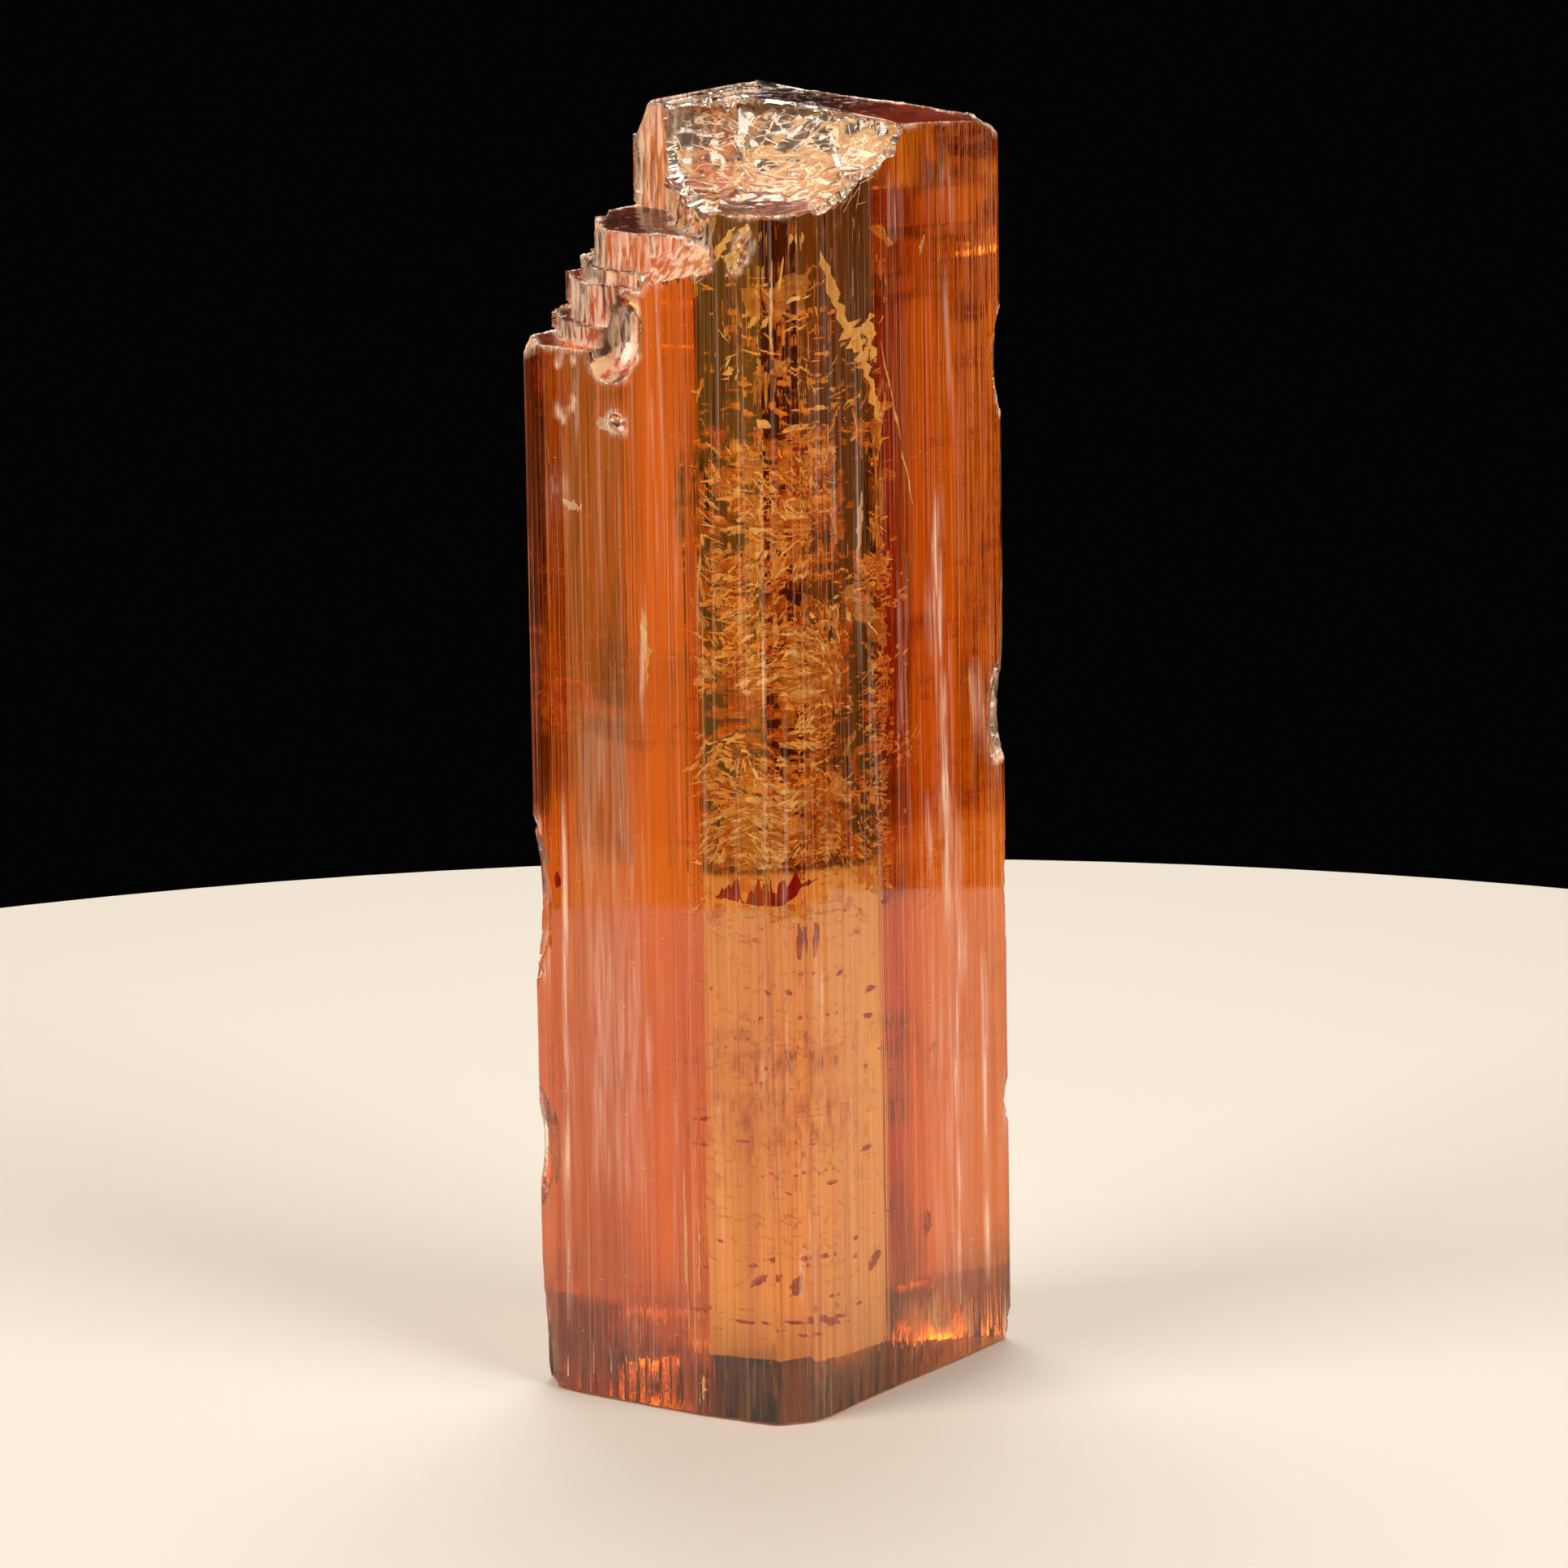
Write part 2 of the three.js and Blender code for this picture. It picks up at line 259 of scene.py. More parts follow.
cad_points, cad_faces = cad_triangles("topaz_crystal")
solid = BVHTree.FromPolygons(cad_points.tolist(), cad_faces.tolist())
kinds = face_kinds(cad_points, cad_faces)
edge_points = sharp_edge_points(cad_points, cad_faces, kinds)
edge_tree = KDTree(len(edge_points))
for number, point in enumerate(edge_points):
    edge_tree.insert(point, number)
edge_tree.balance()

points, faces = refine(cad_points, cad_faces, kinds, edge_tree)
print("crystal triangles", len(faces))

# How far each point is part of the walls, the shell-shaped break and the ledges, from 0 to 1.
BOWL = np.array((0.3, -2.3, 43.2)) * MM  # middle of the shell-shaped break
normals = vertex_normals(points, faces)
from_side, plan = outline_distance(points)
above_base = step(0.0, 0.25 * MM, points[:, 2])
wall = step(0.26 * MM, 0.14 * MM, np.abs(from_side)) * step(0.45, 0.2, np.abs(normals[:, 2]))
bowl = step(4.6 * MM, 3.6 * MM, np.linalg.norm((points - BOWL) * (0.85, 1, 1.1), axis=1))
bowl *= (1 - wall) * step(0.97, 0.9, normals[:, 2])
ledge = (1 - wall) * (1 - bowl) * step(0.9, 0.6, np.abs(normals[:, 2]))
ledge *= step(0.5 * MM, 1 * MM, points[:, 2])

# Growth lines, the roughness of the breaks, and wear along the broken part's edges.
grown = np.column_stack((plan, points[:, 2]))  # in which the growth lines run straight up
lines = (
    0.5 * noise(grown, (0.45 * MM, 0.45 * MM, 30 * MM), 1)
    + 0.9 * noise(grown, (1.5 * MM, 1.5 * MM, 33 * MM), 3)
)
rough = (
    0.5 * noise(points, 1.1 * MM, 5) + 0.3 * noise(points, 0.45 * MM, 6) + 0.2 * noise(points, 0.25 * MM, 7)
)

to_edge = np.array([edge_tree.find(point)[2] for point in points])
worn_and_highlit = step(0.32 * MM, 0.0, to_edge + 0.2 * MM * np.abs(noise(points, 0.35 * MM, 9)))
worn_and_highlit *= step(-0.35, 0.6, noise(points, 0.55 * MM, 10) + 0.3 * noise(points, 2.1 * MM, 13))

# Ripples in the shell-shaped break, round the point it was struck from.
STRUCK = np.array((-1.9, -5.2, 41.2)) * MM
WIDE_RIPPLE, FINE_RIPPLE = 0.62 * MM, 0.37 * MM
ray = np.linalg.norm(points - STRUCK, axis=1)
ray = ray + 0.35 * MM * noise(points, 1.3 * MM, 8)
crumple = np.abs(noise(points, 0.75 * MM, 11)) + 0.6 * np.abs(noise(points, 0.42 * MM, 12))
ripple = np.sin(ray * 2 * math.pi / WIDE_RIPPLE) + 0.6 * np.sin(ray * 2 * math.pi / FINE_RIPPLE + 1)

# Pale scuffed lines on the near walls, and painted highlights: the long lines near x -7.15 and 7.3 are
# painted reflections of the floor on the end walls. x and z of each end, width and strength. Millimetres.
SCUFFS_AND_HIGHLIGHTS = [
    (5.6, 29.3, 5.8, 22.0, 0.1, 0.5), (5.85, 25.0, 6.15, 14.5, 0.12, 0.6),
    (6.25, 15.0, 6.4, 3.0, 0.12, 0.7), (5.25, 21.0, 5.45, 17.8, 0.12, 0.5),
    (7.0, 25.0, 7.3, 22.0, 0.3, 1.0), (7.3, 14.6, 7.45, 2.6, 0.16, 0.8),
    (-7.15, 21.5, -7.3, 2.2, 0.15, 0.75), (-5.3, 17.5, -5.5, 11.5, 0.34, 0.45),
    (-4.3, 14.0, -4.6, 8.5, 0.2, 0.35), (-4.2, 28.0, -4.4, 24.0, 0.12, 0.5),
    (-6.3, 37.0, -6.5, 33.0, 0.12, 0.5), (6.1, 38.5, 6.3, 33.0, 0.12, 0.45),
    (-7.0, 32.6, -7.1, 30.9, 0.6, 0.4), (4.35, 42.0, 4.45, 40.2, 0.3, 0.7),
    (3.6, 41.8, 3.7, 40.9, 0.35, 0.55), (-3.4, 12.0, -3.5, 3.0, 0.1, 0.35),
    (-5.6, 24.5, -5.5, 7.0, 1.5, 0.24), (6.0, 16.0, 6.2, 2.0, 1.1, 0.18),
    (-0.25, 33.0, -0.28, 18.6, 0.06, 0.6),
]
STRIP_X, STRIP_LOW, STRIP_HIGH, STRIP_LEAN = 5.6, 13.5, 30, 0.04  # the broken-up pale strip at the right


def random_scuffs():
    """More of them: thin ones over the near walls, the pale strip, and short ones under the right rim."""
    draw = np.random.default_rng(11)
    found = []
    for _ in range(44):
        x, z, length = draw.uniform(-7.6, 7.6), draw.uniform(3, 33), draw.uniform(1.5, 9)
        width, strength = draw.uniform(0.05, 0.1), draw.uniform(0.15, 0.45)
        found.append((x, z + length, x + 0.02 * length, z, width, strength))
    for _ in range(44):
        z, length = draw.uniform(STRIP_LOW, STRIP_HIGH), draw.uniform(0.5, 2.6)
        x = STRIP_X + STRIP_LEAN * (STRIP_HIGH - z) + draw.normal(0, 0.14)
        width, strength = draw.uniform(0.08, 0.22), draw.uniform(0.6, 1.2)
        found.append((x, z + length, x + STRIP_LEAN * length, z, width, strength))
    for _ in range(20):
        x, z, length = draw.uniform(4.1, 6.6), draw.uniform(41.2, 43.3), draw.uniform(0.5, 1.7)
        found.append((x, z, x, z - length, draw.uniform(0.05, 0.16), draw.uniform(0.3, 0.7)))
    return found


# One mask for the scuffs and the painted highlight lines.
scuffed_and_highlit = np.zeros(len(points))
front = (normals[:, 1] < -0.1) * wall
gaps = step(-0.3, 0.3, noise(grown, (0.16 * MM, 0.16 * MM, 1.7 * MM), 14))
for x0, z0, x1, z1, width, strength in SCUFFS_AND_HIGHLIGHTS + random_scuffs():
    along = np.clip((points[:, 2] / MM - z0) / (z1 - z0), 0, 1)
    aside = np.abs(points[:, 0] / MM - x0 - (x1 - x0) * along)
    ends = step(z0, z0 - 1, points[:, 2] / MM) * step(z1, z1 + 1, points[:, 2] / MM)
    scuffed_and_highlit = np.maximum(scuffed_and_highlit, strength * front * ends * step(width, width * 0.3, aside))
# The worn edges take the scuffs and the painted highlight lines as well.
worn_and_highlit = np.maximum(worn_and_highlit, scuffed_and_highlit * (0.25 + 0.75 * gaps))

# The walls move out to the prism's true side, and then all relief cuts inwards.
LINE_RELIEF, BREAK_RELIEF, RIPPLE_RELIEF, CRUMPLE_RELIEF = 0.006 * MM, 0.075 * MM, 0.016 * MM, 0.17 * MM
depth = wall * (from_side + LINE_RELIEF * (lines - 2)) + (1 - wall) * BREAK_RELIEF * (rough - 1)
depth += bowl * (RIPPLE_RELIEF * (ripple - 1.6) + CRUMPLE_RELIEF * (crumple - 1.6))
depth *= above_base
points = points + normals * depth[:, None]
points = np.clip(points, CAD_BOX[0], CAD_BOX[1])

mesh = bpy.data.meshes.new("topaz")
mesh.from_pydata(points.tolist(), [], faces.tolist())
mesh.polygons.foreach_set("use_smooth", np.ones(len(faces), bool))
mesh.set_sharp_from_angle(angle=SHARP_ANGLE)
broken = (1 - wall) * above_base
# worn_and_highlit carries the worn edges, the scuffs and the painted highlight lines to the material.
for name, values in (("broken", broken), ("worn_and_highlit", worn_and_highlit), ("bowl", bowl), ("ledge", ledge)):
    mesh.attributes.new(name, "FLOAT", "POINT").data.foreach_set("value", values.astype(np.float32))
mesh.update()
crystal = bpy.data.objects.new("topaz", mesh)
bpy.context.scene.collection.objects.link(crystal)
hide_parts("topaz_crystal")
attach(crystal, "root")

# ---- Materials ----

# CHALK_AND_HIGHLIGHT is the pale colour of chalky breaks and worn edges, and of the painted highlight lines.
CLEAR, DARK_LINE, CHALK_AND_HIGHLIGHT = (1.0, 0.97, 0.93), (0.66, 0.43, 0.28), (1.0, 0.64, 0.4)
ABSORB_COLOUR, ABSORB_DENSITY = (0.941, 0.61, 0.05, 1), 260.0


class Nodes:
    """A new material's nodes, with short ways to add and join them."""

    def __init__(self, name):
        self.material = bpy.data.materials.new(name)
        self.material.use_nodes = True
        self.tree = self.material.node_tree
        self.shader = self.tree.nodes["Principled BSDF"]

    def add(self, kind, **values):
        """A new node with these properties."""
        node = self.tree.nodes.new("ShaderNode" + kind)
        for name, value in values.items():
            setattr(node, name, value)
        return node

    def join(self, value, socket):
        """Links an output to a socket, or sets a number or colour on it."""
        if isinstance(value, bpy.types.NodeSocket):
            self.tree.links.new(value, socket)
        else:
            socket.default_value = value

    def math(self, operation, one, two=0.0):
        node = self.add("Math", operation=operation)
        self.join(one, node.inputs[0])
        self.join(two, node.inputs[1])
        return node.outputs[0]

    def attribute(self, name):
        return self.add("Attribute", attribute_name=name).outputs["Fac"]

    def ramp(self, value, low, high, to_low=0.0, to_high=1.0):
        node = self.add("MapRange")
        for socket, number in zip(node.inputs, (value, low, high, to_low, to_high)):
            self.join(number, socket)
        return node.outputs["Result"]

    def noise(self, size, detail=2.0, distortion=0.0):
        """Noise in object space. size is its cell in metres along each axis."""
        place = self.add("Mapping")
        self.join(self.add("TexCoord").outputs["Object"], place.inputs["Vector"])
        place.inputs["Scale"].default_value = [1 / length for length in size]
        node = self.add("TexNoise")
        self.join(place.outputs["Vector"], node.inputs["Vector"])
        node.inputs["Scale"].default_value = 1.0
        node.inputs["Detail"].default_value = detail
        node.inputs["Distortion"].default_value = distortion
        return node.outputs["Fac"]

    def over(self, base, mask, amount):
        """The larger of base and mask times amount."""
        return self.math("MAXIMUM", base, self.math("MULTIPLY", mask, amount))

    def hairs(self, size, distortion, level, width, strength):
        """Fine winding lines, where the noise passes through level."""
        off = self.math("SUBTRACT", self.noise(size, 3, distortion), level)
        return self.ramp(self.math("ABSOLUTE", off), 0.0, width, strength, 0.0)

    def blend(self, factor, one, two):
        """A mix of two colours. Each is three numbers or another node's output."""
        node = self.add("Mix", data_type="RGBA")
        self.join(factor, node.inputs["Factor"])
        for value, socket in ((one, "A"), (two, "B")):
            self.join((*value, 1) if isinstance(value, tuple) else value, node.inputs[socket])
        return node.outputs["Result"]


topaz = Nodes("topaz")
shader = topaz.shader
on_break = topaz.attribute("broken")
on_wall = topaz.math("SUBTRACT", 1.0, on_break)
in_bowl = topaz.attribute("bowl")

# Chalk and painted highlight: pale hairs and haze in the shell-shaped break, worn edges, scuffs and painted
# highlight lines on the near walls, patchy ledges, faint lines on the walls.
pale_hair = topaz.hairs((1.6 * MM, 1.1 * MM, 0.8 * MM), 1.2, 0.5, 0.022, 1.0)
chalk_and_highlight = topaz.math("MULTIPLY", pale_hair, topaz.math("MULTIPLY", in_bowl, 0.9))
grain = topaz.ramp(topaz.noise((0.07 * MM, 0.07 * MM, 2.2 * MM), 3), 0.42, 0.58, 0.3, 0.85)
# Worn edges and scuffs, with the painted highlight lines among them.
chalk_and_highlight = topaz.over(chalk_and_highlight, topaz.attribute("worn_and_highlit"), grain)
chalk_and_highlight = topaz.over(chalk_and_highlight, in_bowl, 0.1)
patchy = topaz.ramp(topaz.noise((0.22 * MM, 0.22 * MM, 1.5 * MM), 4, 0.6), 0.42, 0.62, 0.04, 0.62)
chalk_and_highlight = topaz.over(chalk_and_highlight, topaz.attribute("ledge"), patchy)
pale_line = topaz.ramp(topaz.noise((0.08 * MM, 0.08 * MM, 14 * MM), 3), 0.55, 0.7, 0.0, 0.12)
chalk_and_highlight = topaz.over(chalk_and_highlight, on_wall, pale_line)

# Shade: dark lines along the walls and dark hairs in the shell-shaped break.
dark_line = topaz.ramp(topaz.noise((0.16 * MM, 0.16 * MM, 17 * MM), 4), 0.46, 0.64, 0.0, 0.85)
dark_hair = topaz.hairs((1.2 * MM, 1.0 * MM, 0.55 * MM), 1.5, 0.52, 0.05, 0.95)
shade = topaz.over(topaz.math("MULTIPLY", on_wall, dark_line), in_bowl, dark_hair)

topaz.join(topaz.blend(chalk_and_highlight, topaz.blend(shade, CLEAR, DARK_LINE), CHALK_AND_HIGHLIGHT), shader.inputs["Base Color"])
topaz.join(topaz.ramp(chalk_and_highlight, 0.0, 1.0, 1.0, 0.1), shader.inputs["Transmission Weight"])
topaz.join(
    topaz.math("ADD", topaz.ramp(on_break, 0.0, 1.0, 0.03, 0.14), topaz.math("MULTIPLY", chalk_and_highlight, 0.4)),
    shader.inputs["Roughness"],
)
shader.inputs["IOR"].default_value = IOR

# The finest growth lines on the walls and the finest roughness of the breaks.
fine_line = topaz.noise((0.09 * MM, 0.09 * MM, 16 * MM), 1)
wide_line = topaz.noise((0.25 * MM, 0.25 * MM, 11 * MM), 1)
relief = topaz.math("MULTIPLY", topaz.math("ADD", fine_line, wide_line), on_wall)
crumbs = topaz.math("MULTIPLY", topaz.noise((0.3 * MM,) * 3, 4), topaz.math("MULTIPLY", on_break, 4.0))
relief = topaz.math("ADD", relief, crumbs)
bump = topaz.add("Bump")
bump.inputs["Strength"].default_value = 1.0
bump.inputs["Distance"].default_value = 0.006 * MM
topaz.join(relief, bump.inputs["Height"])
topaz.join(bump.outputs["Normal"], shader.inputs["Normal"])
absorb = topaz.add("VolumeAbsorption")
absorb.inputs["Color"].default_value = ABSORB_COLOUR
absorb.inputs["Density"].default_value = ABSORB_DENSITY
topaz.join(absorb.outputs[0], topaz.tree.nodes["Material Output"].inputs["Volume"])
crystal.data.materials.append(topaz.material)


def mineral(name, dark, light, roughness, alpha=1.0, cell=0.4 * MM):
    """The material of one kind of inclusion, mottled between two colours."""
    made = Nodes(name)
    mottle = made.ramp(made.noise((cell,) * 3, 3), 0.35, 0.65)
    made.join(made.blend(mottle, dark, light), made.shader.inputs["Base Color"])
    made.shader.inputs["Roughness"].default_value = roughness
    made.shader.inputs["Alpha"].default_value = alpha
    made.shader.inputs["Specular IOR Level"].default_value = 0.1
    return made.material


# ---- Inclusions: thin closed plates and streaks inside the crystal ----

rng = np.random.default_rng(5)
CLEARANCE = 0.07 * MM  # least distance from an inclusion to the crystal's surface
NEAR_SIDE = -50 * MM  # y from which lines of sight start
# The clear middle zone's left and right ends: x, the height z of that x, and the lean. Millimetres.
LEFT_X, LEFT_Z, LEFT_LEAN = -2.4, 37.6, 0.0154
RIGHT_X, RIGHT_Z, RIGHT_LEAN = 4.05, 37.1, 0.0094
VEILS_LOW, VEILS_HIGH = 16.6, 41.2
RED_X, RED_Z = (-2.2, 1.7), (17.9, 19.4)  # round the red inclusion, where no veil lies
BANDS = (12.6, 11.0, 9.9)  # heights of the level bands of brown dashes
CLOUD_BANDS = (12.7, 10.9, 10.2)
UPRIGHT = math.pi / 2  # turn of a flake that stands on end
plates = {}  # for each kind of inclusion, its points and faces


def inside(point):
    """How deep a point is in the crystal."""
    near, normal, _, distance = solid.find_nearest(point)
    return distance if (point - near).dot(normal) < 0 else -distance


def under(x, z, depth):
    """The point depth behind the near surface at (x, z), on the bent line of sight. Millimetres in."""
    at, normal, _, _ = solid.ray_cast(Vector((x * MM, NEAR_SIDE, z * MM)), Vector((0, 1, 0)))
    sight = (at - CAMERA_AT).normalized()
    facing = -sight.dot(normal)
    bent = sight / IOR + normal * (facing / IOR - math.sqrt(1 - (1 - facing * facing) / IOR ** 2))
    return at + bent * depth * MM


def keep(kind, verts, faces):
    """Adds a closed body to its kind's mesh unless it comes too near the crystal's surface."""
    if min(inside(Vector(v)) for v in verts) < CLEARANCE:
        return
    all_verts, all_faces = plates.setdefault(kind, ([], []))
    start = len(all_verts)
    all_verts.extend(verts)
    all_faces.extend([tuple(start + i for i in face) for face in faces])


def flake(kind, centre, along, across, half_long, half_wide, thick, rim=8, ragged=0.4, cup=0.25):
    """A thin closed plate with an uneven rim. Half-lengths and thickness in millimetres."""
    along = Vector(along).normalized()
    up = along.cross(Vector(across)).normalized()
    across = up.cross(along)
    turns = (np.arange(rim) + rng.uniform(-0.3, 0.3, rim)) * 2 * math.pi / rim
    reach = 1 + ragged * rng.uniform(-1, 1, rim)
    bend = cup * half_wide * rng.uniform(-1, 1, rim)
    verts = [
        centre + (along * half_long * r * math.cos(t) + across * half_wide * r * math.sin(t) + up * b) * MM
        for t, r, b in zip(turns, reach, bend)
    ]
    verts += [centre + up * thick / 2 * MM, centre - up * thick / 2 * MM]
    faces = [(k, (k + 1) % rim, rim) for k in range(rim)]
    faces += [((k + 1) % rim, k, rim + 1) for k in range(rim)]
    keep(kind, verts, faces)


def ribbon(kind, pairs, depth, thick=0.05):
    """A thin closed strip between two edges, given as pairs of (x, z) seen on the near surface."""
    half = thick / 2
    rings = [
        [under(*low, depth - half), under(*high, depth - half), under(*high, depth + half),
         under(*low, depth + half)]
        for low, high in pairs
    ]
    faces = [(0, 1, 2, 3)]
    for k in range(len(rings) - 1):
        faces += [(4 * k + i, 4 * k + 4 + i, 4 * k + 4 + (i + 1) % 4, 4 * k + (i + 1) % 4) for i in range(4)]
    last = 4 * len(rings) - 4
    faces.append((last + 3, last + 2, last + 1, last))
    keep(kind, [v for ring in rings for v in ring], faces)


def streak(kind, start, end, width, depth, ragged=0.5, stations=10, drift=0.0):
    """A ribbon along a line, thin at its ends. Millimetres on the near surface."""
    (x0, z0), (x1, z1) = start, end
    length = math.hypot(x1 - x0, z1 - z0)
    side = ((z1 - z0) / length, (x0 - x1) / length)
    pairs = []
    for t in np.linspace(0, 1, stations):
        wide = width / 2 * (0.12 + math.sin(math.pi * t) ** 0.7) * (1 + ragged * rng.uniform(-1, 1))
        off = drift * rng.uniform(-1, 1)
        x, z = x0 + (x1 - x0) * t + side[0] * off, z0 + (z1 - z0) * t + side[1] * off
        pairs.append(((x - side[0] * wide, z - side[1] * wide), (x + side[0] * wide, z + side[1] * wide)))
    ribbon(kind, pairs, depth)


def facing_flake(kind, x, z, half_long, half_wide, depth, turn=0.0, thick=0.04, ragged=0.5, rim=9):
    """A flake that shows its flat side at (x, z)."""
    along = Vector((math.cos(turn), 0, math.sin(turn)))
    flake(kind, under(x, z, depth), along, Vector((-math.sin(turn), 0.2, math.cos(turn))),
          half_long, half_wide, thick, rim, ragged)


def zone_edges(z):
    """The left and right ends, in x, of the clear middle zone at height z. Millimetres."""
    return LEFT_X - LEFT_LEAN * (LEFT_Z - z), RIGHT_X - RIGHT_LEAN * (RIGHT_Z - z)


def cloud(x, z):
    """How dense the veils are, from 0 to 1, at a place in the middle zone. Millimetres."""
    at = np.array([(x, 0, z)])
    patches = 0.6 * noise(at, (1.5, 1, 1.9), 21)[0] + 0.4 * noise(at, (0.7, 1, 0.9), 22)[0]
    if RED_X[0] < x < RED_X[1] and RED_Z[0] < z < RED_Z[1]:
        return 0.0
    return float(step(VEILS_LOW, 19.6, z) * step(42.0, 24.0, z) * step(-0.35, 0.3, patches))


def veils(kind, count, long_range, wide_share, deepest, level):
    """Small flakes in the middle zone. level is the share that lies along the cleavage."""
    made = 0
    while made < count:
        z = rng.uniform(VEILS_LOW, VEILS_HIGH)
        left, right = zone_edges(z)
        x = rng.uniform(left + 0.05, right - 0.05)
        if rng.random() > cloud(x, z):
            continue
        made += 1
        depth, long = rng.uniform(0.5, deepest), rng.uniform(*long_range)
        wide = long * rng.uniform(*wide_share)
        if rng.random() < level:
            swing = rng.normal(0, 0.5)
            along = (math.cos(swing), math.sin(swing), rng.normal(0, 0.3))
            across = (-math.sin(swing), math.cos(swing), rng.normal(0, 0.8))
            flake(kind, under(x, z, depth), along, across, long, wide, 0.02, ragged=0.5, cup=0.5)
        else:
            swirl = 1.6 * noise(np.array([(x, 0, z)]), 1.1, 23)[0]
            turn = swirl + rng.normal(0, 0.35)
            facing_flake(kind, x, z, long, wide, depth, turn, thick=0.02, ragged=0.6)


veils("soft_veils", 260, (0.2, 0.6), (0.35, 0.8), 8.0, 0.5)
veils("golden_veils", 1000, (0.05, 0.24), (0.3, 0.7), 6.5, 0.6)
veils("golden_veils", 1500, (0.06, 0.32), (0.06, 0.22), 3.5, 0.0)
for _ in range(240):  # upright flecks higher up
    z = rng.uniform(27.0, 40.8)
    left, right = zone_edges(z)
    facing_flake(rng.choice(("soft_veils", "golden_veils", "brown_veils")), rng.uniform(left, right), z,
                 rng.uniform(0.08, 0.6), rng.uniform(0.015, 0.06), rng.uniform(0.5, 7.0),
                 turn=UPRIGHT + rng.normal(0, 0.12))
for _ in range(120):  # brown upright dashes in uneven level bands
    z = rng.choice(BANDS) + rng.normal(0, 0.7)
    left, right = zone_edges(z)
    facing_flake("brown_veils", rng.uniform(left, right), z, rng.uniform(0.08, 0.5), rng.uniform(0.02, 0.07),
                 rng.uniform(3.0, 9.0), turn=UPRIGHT + rng.normal(0, 0.12))
for _ in range(170):  # faint wrinkles all over the clear part
    z = rng.uniform(3.0, 18.0)
    left, right = zone_edges(z)
    facing_flake("brown_veils", rng.uniform(left, right), z, rng.uniform(0.1, 0.35), rng.uniform(0.015, 0.05),
                 rng.uniform(1.0, 9.0), turn=rng.uniform(-1.2, 1.2))
for _ in range(11):  # soft clouds in the bands
    z = rng.choice(CLOUD_BANDS) + rng.normal(0, 0.45)
    left, right = zone_edges(z)
    facing_flake("cloud_veils", rng.uniform(left + 0.8, right - 0.8), z, rng.uniform(0.4, 1.3),
                 rng.uniform(0.2, 0.6), rng.uniform(4.0, 9.0), turn=rng.normal(0, 0.1), rim=17)
for _ in range(150):  # pale hairs in the shell-shaped break
    x, z = rng.uniform(-2.9, 3.5), rng.uniform(41.3, 43.6)
    turn = 0.9 * (x - 0.3) / 3.2 + rng.normal(0, 0.5)
    facing_flake("pale_cracks", x, z, rng.uniform(0.15, 0.6), rng.uniform(0.012, 0.03), rng.uniform(0.1, 0.8),
                 turn=turn, thick=0.02, ragged=0.3)
for _ in range(260):  # dust
    z = rng.uniform(2.0, 34.0)
    facing_flake("golden_veils", rng.uniform(-7.3, 7.2), z, rng.uniform(0.015, 0.04),
                 rng.uniform(0.015, 0.03), rng.uniform(0.2, 5.0), rim=5)

# The red inclusion in the middle, in three parts: x, and the lowest and highest z there. Millimetres.
RED_PARTS = [
    [(-1.98, 18.24, 18.28), (-1.83, 18.2, 18.36), (-1.72, 18.22, 18.64), (-1.66, 18.26, 18.52),
     (-1.5, 18.2, 18.76), (-1.43, 18.2, 18.62), (-1.3, 18.18, 18.92), (-1.2, 18.16, 19.0),
     (-1.14, 18.3, 18.6), (-1.1, 18.14, 18.24), (-0.98, 18.12, 18.18)],
    [(-0.95, 18.12, 18.16), (-0.84, 18.12, 18.5), (-0.74, 18.1, 18.64), (-0.68, 18.1, 18.5),
     (-0.56, 18.08, 18.92), (-0.48, 18.08, 19.0), (-0.42, 18.1, 18.66), (-0.34, 18.12, 18.9),
     (-0.28, 18.16, 18.84)],
    [(-0.2, 18.12, 18.9), (-0.12, 18.1, 19.06), (-0.04, 18.1, 18.6), (0.1, 18.08, 18.52),
     (0.16, 18.08, 18.86), (0.3, 18.1, 18.98), (0.38, 18.12, 19.0), (0.44, 18.2, 18.7),
     (0.58, 18.28, 18.92), (0.7, 18.36, 19.18), (0.8, 18.44, 19.2), (0.86, 18.6, 18.98),
     (0.92, 18.68, 18.8), (1.1, 18.72, 18.8), (1.18, 18.7, 18.94), (1.24, 18.78, 18.84),
     (1.5, 18.88, 18.91)],
]
RED_DEPTH = 0.45
for part in RED_PARTS:
    ribbon("red_inclusions", [((x, low), (x, high)) for x, low, high in part], RED_DEPTH)

